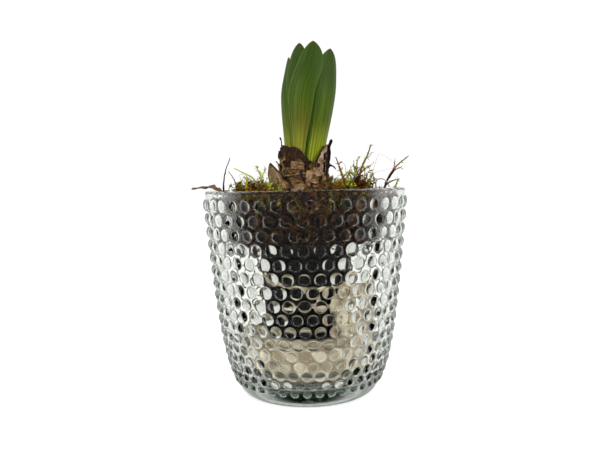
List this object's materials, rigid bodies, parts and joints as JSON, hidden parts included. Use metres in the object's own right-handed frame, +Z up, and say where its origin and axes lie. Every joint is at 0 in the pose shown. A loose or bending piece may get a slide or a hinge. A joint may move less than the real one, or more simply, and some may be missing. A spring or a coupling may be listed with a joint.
{
  "type": "potted hyacinth",
  "caption": "Hyacinth bulb in bud with closed green leaves, in a small grow pot bedded on crumpled paper and moss in a clear hobnail glass vase.",
  "frame": {"origin": "centre of the vase's foot, on the surface that it stands on", "axes": "+Z up along the vase's axis, -Y towards the front, +X to the right as seen from the front"},
  "size_m": [0.1466, 0.139, 0.2345],
  "materials": {
    "glass": "gloss",
    "paper": "matte",
    "pot_plastic": "satin",
    "peat": "matte",
    "bulb": "matte",
    "leaf": "satin",
    "bud": "satin",
    "moss": "matte",
    "stem": "matte",
    "dry_leaf": "matte"
  },
  "bodies": {
    "root": {"glass_vase": "glass", "paper_bedding": "paper", "grow_pot": "pot_plastic", "peat": "peat", "bulb": "bulb", "leaf_front_right": "leaf", "leaf_front": "leaf", "leaf_front_left": "leaf", "leaf_back_left": "leaf", "leaf_back": "leaf", "leaf_back_right": "leaf", "flower_bud": "bud", "dry_leaf": "dry_leaf", "stem_right": "stem", "stem_tall": "stem", "stem_inner": "stem", "stem_left": "stem", "stem_left_short": "stem", "stem_back": "stem", "moss_clump_1": "moss", "moss_clump_2": "moss", "moss_clump_3": "moss", "moss_clump_4": "moss", "moss_clump_5": "moss"}
  },
  "joints": []
}
